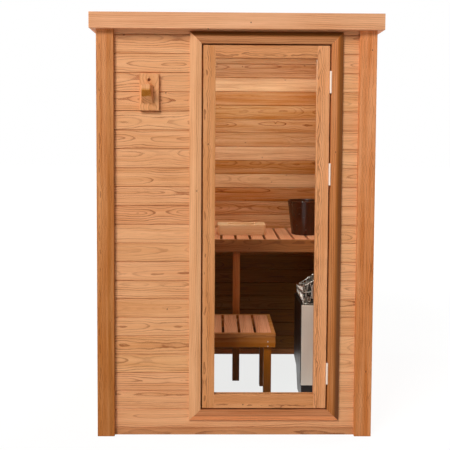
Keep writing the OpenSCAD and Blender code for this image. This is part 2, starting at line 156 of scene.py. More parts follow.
def boxMesh(boxes):
    points, faces = [], []
    for lo, hi in boxes:
        n = len(points)
        points += [(x, y, z) for z in (lo[2], hi[2]) for y in (lo[1], hi[1]) for x in (lo[0], hi[0])]
        sides = ((0, 2, 3, 1), (4, 5, 7, 6), (0, 1, 5, 4), (2, 6, 7, 3), (0, 4, 6, 2), (1, 3, 7, 5))
        faces += [[n + i for i in side] for side in sides]
    return meshFrom(points, faces)


def cutAway(mesh, cutterMesh):
    work, cutter = workObject(mesh), workObject(cutterMesh)
    cut = work.modifiers.new("cut", "BOOLEAN")
    cut.operation = "DIFFERENCE"
    cut.solver = "EXACT"
    cut.object = cutter
    result = bake(work)
    bpy.data.objects.remove(cutter)
    return result


def cadCopy(node):
    # a clean copy of a CAD node: doubles merged and flat faces made whole
    copy = bmesh.new()
    copy.from_mesh(frame["nodes"][node].data)
    bmesh.ops.remove_doubles(copy, verts=copy.verts, dist=0.01 * mm)
    bmesh.ops.dissolve_limit(copy, angle_limit=math.radians(1), verts=copy.verts, edges=copy.edges)
    mesh = bpy.data.meshes.new("copy")
    copy.to_mesh(mesh)
    copy.free()
    return mesh


def joined(meshes):
    whole = bmesh.new()
    for mesh in meshes:
        whole.from_mesh(mesh)
    result = bpy.data.meshes.new("joined")
    whole.to_mesh(result)
    whole.free()
    return result


def eased(mesh, radius=1.2 * mm, segments=2, angle=40):
    # takes the sharp edges off, as sandpaper or a router does
    work = workObject(mesh)
    ease = work.modifiers.new("ease", "BEVEL")
    ease.width = radius
    ease.segments = segments
    ease.limit_method = "ANGLE"
    ease.angle_limit = math.radians(angle)
    ease.use_clamp_overlap = True
    return bake(work)


def smoothed(mesh, angle=32, flatArea=None):
    # smooth up to that angle; faces larger than flatArea stay flat
    for face in mesh.polygons:
        face.use_smooth = flatArea is None or face.area < flatArea
    mesh.set_sharp_from_angle(angle=math.radians(angle))
    return mesh


def markPlanks(mesh, seed, axes=None):
    # gives each separate piece of wood its own grain axes: along, across and through, in metres
    dice = random.Random(seed)
    owner = list(range(len(mesh.vertices)))

    def root(i):
        while owner[i] != i:
            owner[i] = owner[owner[i]]
            i = owner[i]
        return i

    for edge in mesh.edges:
        a, b = root(edge.vertices[0]), root(edge.vertices[1])
        owner[max(a, b)] = min(a, b)
    groups = {}
    for i in range(len(owner)):
        groups.setdefault(root(i), []).append(i)
    plank = [0.0] * (3 * len(owner))
    number = [0.0] * len(owner)
    for group in groups.values():
        points = [mesh.vertices[i].co for i in group]
        lo = [min(p[k] for p in points) for k in range(3)]
        hi = [max(p[k] for p in points) for k in range(3)]
        order = axes or sorted(range(3), key=lambda k: -round((hi[k] - lo[k]) / mm))
        slide, own = dice.uniform(0, 40), dice.random()
        for i in group:
            co = mesh.vertices[i].co
            for place, k in enumerate(order):
                plank[3 * i + place] = co[k] - (lo[k] + hi[k]) / 2
            plank[3 * i] += slide
            number[i] = own
    for label, kind, values in (("plank", "FLOAT_VECTOR", plank), ("plankSeed", "FLOAT", number)):
        attribute = mesh.attributes.new(label, kind, "POINT")
        attribute.data.foreach_set("vector" if kind == "FLOAT_VECTOR" else "value", values)
    return mesh


def makePiece(name, mesh, material, body, slotName, *nodes):
    piece = bpy.data.objects.new(name, mesh)
    mesh.name = name
    mesh.materials.clear()
    mesh.materials.append(material)
    scene.collection.objects.link(piece)
    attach(piece, body)
    if nodes:
        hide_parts(*nodes)
    return piece


# camera

camera = {
    "place": (-0.0893, -3.7655, 1.402),
    "yaw": 0.688, "pitch": -3.1, "roll": 0.31,   # degrees
    "lens": 54.34, "sensor": 36.0,
    "shiftUp": -0.109,
}
cameraData = bpy.data.cameras.new("camera")
cameraData.lens = camera["lens"]
cameraData.sensor_width = camera["sensor"]
cameraData.shift_y = camera["shiftUp"]
cameraObject = bpy.data.objects.new("camera", cameraData)
cameraObject.matrix_world = (
    Matrix.Translation(camera["place"])
    @ Matrix.Rotation(math.radians(-camera["yaw"]), 4, "Z")
    @ Matrix.Rotation(math.radians(90 + camera["pitch"]), 4, "X")
    @ Matrix.Rotation(math.radians(camera["roll"]), 4, "Z")
)
scene.collection.objects.link(cameraObject)
scene.camera = cameraObject
print("camera set")


# light and floor

light = {
    "world": 0.02, "aim": (0.0, -0.6, 1.0),
    # name: turned left of the front and raised, in degrees; away and across, in metres; watts
    "studio": {
        "key": (30, 40, 11.5, 4.2, 1080), "left": (100, 14, 11.0, 3.0, 420),
        "right": (-112, 14, 11.0, 3.0, 560), "back": (195, 14, 11.0, 3.0, 560),
    },
    # name: place, aim, wide, high, watts
    "cabin": {
        "ceiling": ((0.12, -0.24, 1.88), (0.12, -0.24, 0.0), 0.6, 0.6, 5.6),
        "head": ((0.12, 0.10, 1.87), (0.12, 0.6, 1.87), 1.0, 0.06, 1.9),
        "bench": ((0.12, 0.40, 1.88), (0.12, 0.10, 0.90), 1.0, 0.12, 1.7),
    },
    "cabinColour": (0.74, 1.0, 1.0),
}


def addLamp(name, place, aim, wide, high, watts, colour=(1, 1, 1)):
    lampData = bpy.data.lights.new(name, "AREA")
    lampData.shape = "RECTANGLE"
    lampData.size = wide
    lampData.size_y = high
    lampData.energy = watts
    lampData.color = colour
    lamp = bpy.data.objects.new(name, lampData)
    lamp.location = place
    lamp.rotation_euler = (Vector(aim) - Vector(place)).to_track_quat("-Z", "Y").to_euler()
    lamp.visible_camera = False
    scene.collection.objects.link(lamp)


for name, (turned, raised, away, across, watts) in light["studio"].items():
    around, up = math.radians(turned), math.radians(raised)
    reach = Vector((-math.sin(around) * math.cos(up), -math.cos(around) * math.cos(up), math.sin(up)))
    addLamp(name, Vector(light["aim"]) + reach * away, light["aim"], across, across, watts)
for name, (place, aim, wide, high, watts) in light["cabin"].items():
    addLamp(name, place, aim, wide, high, watts, light["cabinColour"])



def seenWhite(add):
    # 1 for what the camera sees, directly, in a mirror or through glass, and 0 for what lights the cabin
    path = add("ShaderNodeLightPath")
    seen = add("ShaderNodeMath", {0: path.outputs["Is Camera Ray"], 1: path.outputs["Is Glossy Ray"]},
               operation="MAXIMUM")
    return add("ShaderNodeMath", {0: seen, 1: path.outputs["Is Transmission Ray"]}, operation="MAXIMUM")


world = bpy.data.worlds.new("studio")
world.use_nodes = True
scene.world = world
world.node_tree.nodes.clear()
add = partial(addNode, world.node_tree)
soft = add("ShaderNodeBackground", {"Strength": light["world"]})
white = add("ShaderNodeBackground", {"Strength": 1.0})
for background in (soft, white):
    background.inputs["Color"].default_value = (1, 1, 1, 1)
both = add("ShaderNodeMixShader", {0: seenWhite(add), 1: soft, 2: white})
add("ShaderNodeOutputWorld", {"Surface": both})

# share: how much of the floor near the cabin is white of its own, where the rest takes the shadow
floorLook = {"half": 30.0, "drop": 0.5 * mm, "paint": "#dcdcda", "share": 0.85, "glow": 1.08,
             "far": (2.2, 6.0)}
half, level = floorLook["half"], -floorLook["drop"]
floorMesh = meshFrom([(-half, -half, level), (half, -half, level), (half, half, level),
                      (-half, half, level)], [(0, 1, 2, 3)])
# painted studio floor: matt and pale, so it only shows the shadow
floorPaint, add = newMaterial("mattFloorPaint")
# the shadow lies close by, so farther off the floor goes over into the white behind it
away = add("ShaderNodeVectorMath", {0: add("ShaderNodeTexCoord").outputs["Object"]}, operation="LENGTH")
glowHere = add("ShaderNodeMapRange", {
    "Value": away.outputs["Value"], 1: floorLook["far"][0], 2: floorLook["far"][1],
    3: floorLook["share"], 4: 1.0}, interpolation_type="SMOOTHSTEP")
share = add("ShaderNodeMath", {0: seenWhite(add), 1: glowHere}, operation="MULTIPLY")
matt = add("ShaderNodeBsdfDiffuse", {"Color": linear(floorLook["paint"])})
glow = add("ShaderNodeEmission", {"Strength": floorLook["glow"]})
mixed = add("ShaderNodeMixShader", {0: share, 1: matt, 2: glow})
add("ShaderNodeOutputMaterial", {"Surface": mixed})
floor = bpy.data.objects.new("floor", floorMesh)
floorMesh.materials.append(floorPaint)
scene.collection.objects.link(floor)
print("light and floor set")


# cedar

# Western red cedar, planed and left bare: pale early wood with darker late-wood lines that
# make arches where the saw ran along the rings, silky rather than shiny.
def cedar(name, look):
    material, add = newMaterial(name)
    plank = add("ShaderNodeAttribute", attribute_name="plank")
    along, across, through = add("ShaderNodeSeparateXYZ", {0: plank.outputs["Vector"]}).outputs

    def drawnOut(size):
        # a place in the wood counted in patches, size[0] long with the grain and size[1] across it
        steps = ((along, size[0]), (across, size[1]), (through, size[1]))
        scaled = [add("ShaderNodeMath", {0: axis, 1: 1 / step}, operation="MULTIPLY")
                  for axis, step in steps]
        return add("ShaderNodeCombineXYZ", dict(enumerate(scaled)))

    seed = add("ShaderNodeAttribute", attribute_name="plankSeed").outputs["Fac"]
    chosen = add("ShaderNodeTexWhiteNoise", {"W": seed}, noise_dimensions="1D")
    dice = add("ShaderNodeSeparateColor", {0: chosen.outputs["Color"]}).outputs
    # the trunk bends and swells along the plank, so the rings drift in and out of its face
    drift = add("ShaderNodeTexNoise", {"W": along, "Scale": 1 / look["driftLength"], "Detail": 1.5,
                                       "Roughness": 0.45}, noise_dimensions="1D")
    drift = add("ShaderNodeSeparateColor", {0: drift.outputs["Color"]}).outputs
    heart = add("ShaderNodeMapRange", {"Value": dice[0], 3: look["heart"][0], 4: look["heart"][1]})
    rise = add("ShaderNodeMapRange", {"Value": drift[0], 3: -look["drift"], 4: look["drift"]}, clamp=False)
    aside = add("ShaderNodeMapRange", {"Value": dice[1], 3: look["aside"][0], 4: look["aside"][1]})
    sway = add("ShaderNodeMapRange", {"Value": drift[1], 3: -look["sway"], 4: look["sway"]}, clamp=False)
    down = add("ShaderNodeMath", {0: add("ShaderNodeMath", {0: heart, 1: rise}), 1: through})
    side = add("ShaderNodeMath", {0: add("ShaderNodeMath", {0: aside, 1: sway}), 1: across})
    # pin knots: a few cells of a wide pattern hold one, and the rings bulge round it
    flat = add("ShaderNodeCombineXYZ", {0: along, 1: across})
    cells = add("ShaderNodeTexVoronoi", {"Vector": flat, "Scale": 1 / look["knotApart"]},
                voronoi_dimensions="2D")
    chance = add("ShaderNodeSeparateColor", {0: cells.outputs["Color"]})
    here = add("ShaderNodeMath", {0: chance, 1: 1 - look["knots"]}, operation="GREATER_THAN")
    bulge = add("ShaderNodeMapRange", {
        "Value": cells.outputs["Distance"], 1: 0.0, 2: look["knotSwell"] / look["knotApart"],
        3: look["ring"] * 0.9, 4: 0.0}, interpolation_type="SMOOTHSTEP")
    bulge = add("ShaderNodeMath", {0: bulge, 1: here}, operation="MULTIPLY")
    core = add("ShaderNodeMapRange", {"Value": cells.outputs["Distance"],
                                      1: look["knotCore"] / look["knotApart"],
                                      2: look["knotEdge"] / look["knotApart"], 3: 1.0, 4: 0.0})
    core = add("ShaderNodeMath", {0: core, 1: here}, operation="MULTIPLY")
    # fine waver of the rings
    waver = add("ShaderNodeTexNoise", {"Vector": drawnOut(look["waverSize"]), "Scale": 1.0, "Detail": 2.0,
                                       "Roughness": 0.5})
    waver = add("ShaderNodeMapRange", {"Value": waver.outputs["Fac"], 3: -look["waver"], 4: look["waver"]},
                clamp=False)
    heartOff = add("ShaderNodeCombineXYZ", {0: side, 1: down})
    radius = add("ShaderNodeVectorMath", {0: heartOff}, operation="LENGTH")
    radius = add("ShaderNodeMath", {0: radius.outputs["Value"], 1: waver})
    radius = add("ShaderNodeMath", {0: radius, 1: bulge})
    # growth rings: really 2 to 3 mm apart, drawn coarser so that they show
    ring = add("ShaderNodeMath", {0: radius, 1: look["ring"]}, operation="DIVIDE")
    year = add("ShaderNodeMath", {0: ring}, operation="FLOOR")
    season = add("ShaderNodeMath", {0: ring}, operation="FRACT")
    ownYear = add("ShaderNodeMath", {0: seed, 1: 57.0, 2: year}, operation="MULTIPLY_ADD")
    good = add("ShaderNodeTexWhiteNoise", {"W": ownYear}, noise_dimensions="1D")
    good = add("ShaderNodeMapRange", {"Value": good.outputs["Value"], 3: look["faint"], 4: 1.0})
    late = add("ShaderNodeValToRGB", {"Fac": season},
               stops=[(0.0, 0.7), (0.04, 0.0), (0.50, 0.06), (0.74, 0.26), (0.86, 1.0), (0.99, 1.0)])
    fade = add("ShaderNodeMapRange", {"Value": drift[2], 1: 0.36, 2: 0.62, 3: look["fade"], 4: 1.0})
    lines = add("ShaderNodeMath", {0: late, 1: good}, operation="MULTIPLY")
    lines = add("ShaderNodeMath", {0: lines, 1: fade}, operation="MULTIPLY")
    # long soft streaks, and fibres drawn 2 mm wide where the real ones are a tenth of that
    bands = drawnOut(look["streakSize"])
    streak = add("ShaderNodeTexNoise", {"Vector": bands, "Scale": 1.0, "Detail": 2.0, "Roughness": 0.6})
    hair = add("ShaderNodeTexNoise", {"Vector": bands, "Scale": 11.0, "Detail": 1.0, "Roughness": 0.5})
    shade = add("ShaderNodeMapRange", {"Value": streak.outputs["Fac"], 1: 0.3, 2: 0.7,
                                       3: 1 - look["streak"], 4: 1 + look["streak"]})
    fibre = add("ShaderNodeMapRange", {"Value": hair.outputs["Fac"], 1: 0.3, 2: 0.7, 3: 0.965, 4: 1.03})
    # a board's own tone and its streaks, darker and richer together as wood is
    own = add("ShaderNodeMapRange", {"Value": seed, 3: 1 + look["vary"], 4: 1 - look["vary"]})
    deep = add("ShaderNodeMath", {0: own, 1: shade}, operation="DIVIDE")
    hue = add("ShaderNodeMapRange", {"Value": dice[0], 3: 0.5 - look["hue"], 4: 0.5 + look["hue"]})
    colour = add("ShaderNodeMix", {0: lines, 6: linear(look["early"]), 7: linear(look["late"])},
                 data_type="RGBA").outputs[2]
    colour = add("ShaderNodeGamma", {"Color": colour, "Gamma": deep})
    # painted shade: darker towards the floor, and more so on the faces that look into the cabin
    height = add("ShaderNodeSeparateXYZ", {0: add("ShaderNodeTexCoord").outputs["Object"]}).outputs["Z"]
    foot = add("ShaderNodeMapRange", {"Value": through, 1: look["inner"][0], 2: look["inner"][1],
                                      3: look.get("innerFoot", look["foot"]), 4: look["foot"]})
    paintedFootShade = add("ShaderNodeMapRange", {"Value": height, 1: look["footFrom"], 2: look["footTo"],
                                      3: 1.0, 4: foot})
    tone = add("ShaderNodeMath", {0: deep, 1: -look["deepen"]}, operation="POWER")
    value = add("ShaderNodeMath", {0: fibre, 1: paintedFootShade}, operation="MULTIPLY")
    value = add("ShaderNodeMath", {0: value, 1: tone}, operation="MULTIPLY")
    # a band of another tone along one edge: painted shade and painted light on the casings' outer chamfers,
    # a darker edge on the post
    edgeToneAndShade = add("ShaderNodeMapRange", {"Value": across, 1: look["edgeFrom"], 2: look["edgeTo"], 3: 1.0,
                                      4: look["edgeTone"]}, interpolation_type="SMOOTHSTEP")
    value = add("ShaderNodeMath", {0: value, 1: edgeToneAndShade}, operation="MULTIPLY")
    rich = add("ShaderNodeMapRange", {"Value": value, 1: 0.5, 2: 1.0, 3: look["rich"], 4: 1.0})
    colour = add("ShaderNodeHueSaturation", {"Color": colour, "Hue": hue, "Saturation": rich,
                                             "Value": value})
    colour = add("ShaderNodeMix", {0: core, 6: colour, 7: linear(look["knotColour"])},
                 data_type="RGBA").outputs[2]
    relief = add("ShaderNodeMath", {0: hair.outputs["Fac"], 1: lines}, operation="SUBTRACT")
    bump = add("ShaderNodeBump", {"Height": relief, "Strength": 0.35, "Distance": 0.25 * mm})
    rough = add("ShaderNodeMapRange", {"Value": lines, 3: look["rough"], 4: look["rough"] - 0.08})
    surface = add("ShaderNodeBsdfPrincipled", {"Base Color": colour, "Roughness": rough, "Normal": bump,
                                               "Specular IOR Level": 0.35})
    add("ShaderNodeOutputMaterial", {"Surface": surface})
    return material


# heart: how deep the trunk's heart lies under the face, and aside: how far off the board's middle.
# foot: painted shade, what is left of the colour at footTo, from all of it at footFrom, two heights above
# the floor.
# innerFoot: the same painted shade on the faces that look into the cabin, beyond inner on the way through a
# board.
# edge: a band of another tone along one side, from edgeFrom to edgeTo across the board; on the casings it is
# painted shade and painted light.
plainCut = {
    "early": "#ebaa75", "late": "#974e1c",
    "ring": 9.5 * mm, "heart": (26 * mm, 50 * mm), "aside": (-24 * mm, 24 * mm),
    "drift": 30 * mm, "driftLength": 0.32, "sway": 10 * mm, "waver": 3.2 * mm,
    "waverSize": (55 * mm, 18 * mm), "streakSize": (450 * mm, 22 * mm), "deepen": 0.8,
    "faint": 0.16, "fade": 0.48, "streak": 0.08, "vary": 0.05, "hue": 0.003,
    "foot": 1.0, "footFrom": 1.9, "footTo": 0.3, "inner": (-16 * mm, -10 * mm),
    "edgeFrom": 0.0, "edgeTo": 10 * mm, "edgeTone": 1.0, "rich": 1.12,
    "knots": 0.05, "knotApart": 0.10, "knotSwell": 14 * mm, "knotCore": 1.2 * mm,
    "knotEdge": 4.2 * mm, "knotColour": "#5a3219", "rough": 0.60,
}
straightCut = dict(plainCut, heart=(14 * mm, 30 * mm), aside=(50 * mm, 80 * mm), drift=22 * mm,
                   driftLength=0.4, waver=2.2 * mm, knots=0.02, fade=0.45, vary=0.02, ring=9 * mm)
# cut so that the rings only graze one edge, where they break up into short dashes
edgeCut = dict(straightCut, heart=(28 * mm, 34 * mm), aside=(-32 * mm, -26 * mm), ring=6.5 * mm,
               drift=5 * mm, driftLength=0.09, waver=3.4 * mm, fade=0.7)
stileCut = dict(edgeCut, aside=(14 * mm, 20 * mm))
cedars = {
    name: cedar(label, dict(cut, **look)) for name, label, cut, look in (
        ("wall", "cedarBoardPlaned", plainCut, {}),
        # back: innerFoot, footFrom and footTo paint the shade under the upper bench
        ("back", "cedarBoardMixedPlaned", plainCut,
         {"early": "#dca070", "vary": 0.2, "streak": 0.13, "knots": 0.14, "rich": 1.3,
          "innerFoot": 0.27, "footFrom": 0.88, "footTo": 0.62}),
        ("roof", "cedarRoofBoardPlaned", plainCut, {}),
        # posts: foot paints shade that deepens lower down
        ("post", "cedarPostPlaned", dict(edgeCut, aside=(26 * mm, 32 * mm)),
         {"early": "#d98b52", "late": "#854216", "streak": 0.12, "foot": 0.76,
          "edgeFrom": 4 * mm, "edgeTo": 16 * mm, "edgeTone": 0.86}),
        ("postPale", "cedarPostPalePlaned", edgeCut,
         {"early": "#ee9b62", "late": "#944f1e", "streak": 0.12, "foot": 0.80}),
        ("sill", "cedarSillSawn", straightCut, {"early": "#cf8e5b", "late": "#7c4219", "rough": 0.68}),
        ("fascia", "cedarFasciaPlaned", straightCut,
         {"early": "#eba97c", "late": "#bd7136", "fade": 0.15, "knots": 0.15}),
        # casings: the edge bands paint shade on the right and top outer chamfers and light on the bottom
        # one; foot paints shade on the right piece lower down
        ("casingPale", "cedarCasingPaleMoulded", straightCut, {"early": "#e5a573", "late": "#aa642d"}),
        ("casingRed", "cedarCasingRedMoulded", straightCut,
         {"early": "#e6975f", "late": "#934e1c", "foot": 0.68, "edgeFrom": -6 * mm, "edgeTo": 18 * mm,
          "edgeTone": 0.36}),
        ("casingDark", "cedarCasingDarkMoulded", straightCut,
         {"early": "#bc7848", "late": "#80441b", "edgeTo": 12 * mm, "edgeTone": 0.40}),
        ("casingWarm", "cedarCasingWarmMoulded", straightCut,
         {"early": "#ca8350", "late": "#8e4f1c", "edgeFrom": -2 * mm, "edgeTo": -8 * mm, "edgeTone": 1.65}),
        ("frame", "cedarJambPlaned", straightCut, {"early": "#c98752", "late": "#8a4a1b"}),
        ("door", "cedarDoorPlaned", stileCut, {"early": "#dd965e", "late": "#814217"}),
        ("doorPale", "cedarDoorPalePlaned", stileCut, {"early": "#f0aa72", "late": "#904c1c"}),
        # hook: innerFoot, footFrom and footTo paint the shade under the peg
        ("hook", "cedarHookSanded", plainCut,
         {"innerFoot": 0.62, "footFrom": 1.632, "footTo": 1.618, "rich": 1.3,
          "early": "#e8a26b", "late": "#b5692d", "driftLength": 0.12}),
        ("slat", "cedarSlatSanded", straightCut, {"early": "#eba57c", "late": "#b0622f"}),
        # bench: foot paints the shade on the legs and frame near the floor
        ("bench", "cedarBenchSanded", straightCut,
         {"early": "#c27e43", "late": "#7f4315", "rich": 1.3,
          "foot": 0.34, "footFrom": 0.42, "footTo": 0.1}),
        # apron: the bench cedar made darker, painted shade on the apron's face
        ("apron", "cedarApronSandedPaintedShade", plainCut, {"early": "#a06534", "late": "#66330f"}),
    )
}
print("cedar mixed")


# board walls and roof

# where each lot of wood starts its draw
seeds = {"front": 11, "back": 12, "left": 13, "right": 14, "roof": 15, "hook": 21, "basin": 31,
         "planed": 100}
board = {
    "cover": 88 * mm, "gap": 1.3 * mm, "chamfer": 2.8 * mm,
    "tongue": 9 * mm, "tongueThick": 12 * mm, "grooveDeep": 10 * mm, "grooveWide": 12.8 * mm,
}


def boardMesh(length, thick):
    # one tongue-and-groove board, its outer face at y 0, lying along x
    c, h, mid = board["chamfer"], board["cover"] - board["gap"], thick / 2
    tongue, groove = board["tongueThick"] / 2, board["grooveWide"] / 2
    outline = [
        (c, 0), (0, c), (0, h - c), (c, h),
        (mid - tongue, h), (mid - tongue + mm / 2, h + board["tongue"]),
        (mid + tongue - mm / 2, h + board["tongue"]), (mid + tongue, h),
        (thick - c, h), (thick, h - c), (thick, c), (thick - c, 0),
        (mid + groove, 0), (mid + groove, board["grooveDeep"]),
        (mid - groove, board["grooveDeep"]), (mid - groove, 0),
    ]
    n = len(outline)
    points = [(x, y, z) for x in (0, length) for y, z in outline]
    faces = [(i, n + i, n + (i + 1) % n, (i + 1) % n) for i in range(n)]
    faces += [tuple(range(n)), tuple(reversed(range(n, 2 * n)))]
    return facedOut(meshFrom(points, faces))


# a straight row of copies, for boards and for screws
rowTree, add, given = newTree("row", {"Count": "Int", "Step": "Vector", "Material": "Material"})
line = add("GeometryNodeMeshLine", {"Count": given["Count"], "Offset": given["Step"]}, mode="OFFSET")
placed = add("GeometryNodeInstanceOnPoints", {"Points": line, "Instance": given["Geometry"]})
real = add("GeometryNodeRealizeInstances", {"Geometry": placed})
dressed = add("GeometryNodeSetMaterial", {"Geometry": real, "Material": given["Material"]})
add("NodeGroupOutput", {"Geometry": dressed})


def boardPanel(corner, axes, length, height, thick, material):
    # rows of boards filling length by height from corner; axes are along, inwards and up
    count = math.ceil(height / board["cover"])
    rows = runTree(rowTree, boardMesh(length, thick),
                   {"Count": count, "Step": (0.0, 0.0, board["cover"]), "Material": material})
    spare = boxMesh([((-0.1, -0.1, height), (length + 0.1, thick + 0.1, height + 0.3))])
    rows = cutAway(rows, spare)
    turn = Matrix([Vector(a) for a in axes]).transposed().to_4x4()
    rows.transform(Matrix.Translation(corner) @ turn)
    return rows


x, y, z = Vector((1, 0, 0)), Vector((0, 1, 0)), Vector((0, 0, 1))
leftLo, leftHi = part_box("front_wall_left")
rightLo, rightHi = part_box("front_wall_right")
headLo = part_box("front_wall_header")[0]
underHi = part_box("front_wall_under_door")[1]
frontThick = leftHi.y - leftLo.y
front = boardPanel(leftLo, (x, y, z), rightHi.x - leftLo.x, leftHi.z - leftLo.z, frontThick, cedars["wall"])
doorway = boxMesh([((leftHi.x, leftLo.y - 0.1, underHi.z), (rightLo.x, leftHi.y + 0.1, headLo.z))])
front = markPlanks(cutAway(front, doorway), seeds["front"])
makePiece("front_wall_boards", front, cedars["wall"], "root", "cedar_wall",
          "front_wall_left", "front_wall_right", "front_wall_header", "front_wall_under_door")

# the other walls: each starts at the corner from which its boards run along and inwards
for side, wood, axes in (("back", "back", (-x, -y, z)), ("left", "wall", (-y, x, z)),
                         ("right", "wall", (y, -x, z))):
    lo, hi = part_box(side + "_wall")
    corner = [hi[k] if axes[0][k] + axes[1][k] < 0 else lo[k] for k in range(3)]
    length, thick = (sum(abs(axis[k]) * (hi[k] - lo[k]) for k in range(3)) for axis in axes[:2])
    wall = boardPanel(corner, axes, length, hi.z - lo.z, thick, cedars[wood])
    makePiece(side + "_wall_boards", markPlanks(wall, seeds[side]), cedars[wood], "root", "cedar_wall",
              side + "_wall")
lo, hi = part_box("roof_panel")
roof = boardPanel((lo.x, lo.y, hi.z), (x, -z, y), hi.x - lo.x, hi.y - lo.y, hi.z - lo.z, cedars["roof"])
makePiece("roof_boards", markPlanks(roof, seeds["roof"]), cedars["roof"], "root", "cedar_roof", "roof_panel")
print("walls boarded")


# plain planed pieces

planed = {
    # node: (cedar, slot, edge radius)
    "post_front_left": ("post", "cedar_post", 2.0), "post_front_right": ("postPale", "cedar_post", 2.0),
    "post_back_left": ("post", "cedar_post", 2.0), "post_back_right": ("post", "cedar_post", 2.0),
    "base_sills": ("sill", "cedar_sill", 1.2),
    **{"fascia_" + side: ("fascia", "cedar_fascia", 1.5) for side in ("front", "back", "left", "right")},
    **{"door_" + part: ("frame", "cedar_frame", 1.0)
       for part in ("jamb_left", "jamb_right", "head", "threshold")},
    "casing_left": ("casingPale", "cedar_casing", 1.0), "casing_right": ("casingRed", "cedar_casing", 1.0),
    "casing_top": ("casingDark", "cedar_casing", 1.0), "casing_bottom": ("casingWarm", "cedar_casing", 1.0),
    "door_stile_left": ("door", "cedar_door", 1.5), "door_stile_right": ("doorPale", "cedar_door", 1.5),
    "door_top_rail": ("door", "cedar_door", 0.8), "door_bottom_rail": ("door", "cedar_door", 0.8),
    "upper_bench_slats": ("slat", "cedar_bench", 2.5), "upper_bench_apron": ("apron", "cedar_bench", 2.5),
    "upper_bench_ledgers": ("bench", "cedar_bench", 1.5), "upper_bench_leg": ("bench", "cedar_bench", 1.5),
    "lower_bench_slats": ("slat", "cedar_bench", 2.5), "lower_bench_frame": ("bench", "cedar_bench", 1.5),
    "lower_bench_legs": ("bench", "cedar_bench", 1.5),
}
for number, (node, (wood, slotName, edge)) in enumerate(planed.items()):
    mesh = markPlanks(eased(cadCopy(node), edge * mm), seeds["planed"] + number)
    body = "door" if slotName == "cedar_door" else "root"
    makePiece(node + "_planed", mesh, cedars[wood], body, slotName, node)
print("posts, trim, door and benches planed")

# robe hook: it hangs by a slot that is wide at the foot, and slotDown is how far down that lies

hook = {
    "edge": 1.2 * mm, "slotDown": 21 * mm, "slotFall": 4 * mm, "slotRise": 13 * mm,
    "slotLow": 3.2 * mm, "slotTop": 1.4 * mm, "past": 5 * mm,
}
lo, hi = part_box("robe_hook")
holeX, holeZ = (lo.x + hi.x) / 2, hi.z - hook["slotDown"]
low, top, fall, rise = hook["slotLow"] / 2, hook["slotTop"] / 2, hook["slotFall"], hook["slotRise"]
yFront, yBack = lo.y - hook["past"], hi.y + hook["past"]
corners = [(holeX - low, -fall), (holeX + low, -fall), (holeX + top, rise), (holeX - top, rise)]
slotMesh = meshFrom([(px, py, holeZ + pz) for py in (yFront, yBack) for px, pz in corners],
                    [(0, 1, 2, 3), (7, 6, 5, 4), (0, 4, 5, 1), (1, 5, 6, 2), (2, 6, 7, 3), (3, 7, 4, 0)])
hookMesh = cutAway(eased(cadCopy("robe_hook"), hook["edge"]), slotMesh)
hookMesh = markPlanks(hookMesh, seeds["hook"], axes=(2, 0, 1))
makePiece("towel_hook", hookMesh, cedars["hook"], "root", "cedar_hook", "robe_hook")
print("hook cut")


# metal, glass, stone, plastic

# Tempered float glass: clear, with only a faint mirror at a glance.
def temperedGlass():
    material, add = newMaterial("floatGlassTempered")
    clear = add("ShaderNodeBsdfTransparent", {"Color": (0.935, 0.937, 0.933, 1)})
    mirror = add("ShaderNodeBsdfGlossy", {"Roughness": 0.0})
    # coated against glare, so it mirrors only at a slant, and only where light comes in
    share = add("ShaderNodeMapRange", {"Value": add("ShaderNodeFresnel", {"IOR": 1.45}), 1: 0.035, 2: 1.0})
    inward = add("ShaderNodeMath", {0: 1.0, 1: add("ShaderNodeNewGeometry").outputs["Backfacing"]},
                 operation="SUBTRACT")
    share = add("ShaderNodeMath", {0: share, 1: inward}, operation="MULTIPLY")
    mixed = add("ShaderNodeMixShader", {0: share, 1: clear, 2: mirror})
    add("ShaderNodeOutputMaterial", {"Surface": mixed})
    return material


# Rolled stainless steel, brushed along its length: grey, with soft streaks across the light.
def brushedSteel(name, shade, rough, along):
    material, add = newMaterial(name)
    where = add("ShaderNodeTexCoord").outputs["Object"]
    # brush marks are a tenth of a millimetre apart, drawn 2 mm so that they show
    scale = [500.0, 500.0, 500.0]
    scale["xyz".index(along)] = 9.0
    spun = add("ShaderNodeMapping", {"Vector": where, "Scale": scale})
    marks = add("ShaderNodeTexNoise", {"Vector": spun, "Scale": 1.0, "Detail": 2.0})
    cloud = add("ShaderNodeTexNoise", {"Vector": where, "Scale": 6.0, "Detail": 2.0})
    both = add("ShaderNodeMath", {0: marks.outputs["Fac"], 1: cloud.outputs["Fac"]})
    colour = add("ShaderNodeMapRange", {"Value": both, 1: 0.7, 2: 1.3, 3: 0.92, 4: 1.06})
    colour = add("ShaderNodeMix", {0: 1.0, 6: linear(shade), 7: colour}, data_type="RGBA",
                 blend_type="MULTIPLY").outputs[2]
    gloss = add("ShaderNodeMapRange", {"Value": marks.outputs["Fac"], 1: 0.3, 2: 0.7, 3: rough - 0.05,
                                       4: rough + 0.05})
    bump = add("ShaderNodeBump", {"Height": marks.outputs["Fac"], "Strength": 0.12, "Distance": 0.1 * mm})
    surface = add("ShaderNodeBsdfPrincipled", {"Base Color": colour, "Metallic": 1.0, "Roughness": gloss,
                                               "Normal": bump})
    add("ShaderNodeOutputMaterial", {"Surface": surface})
    return material


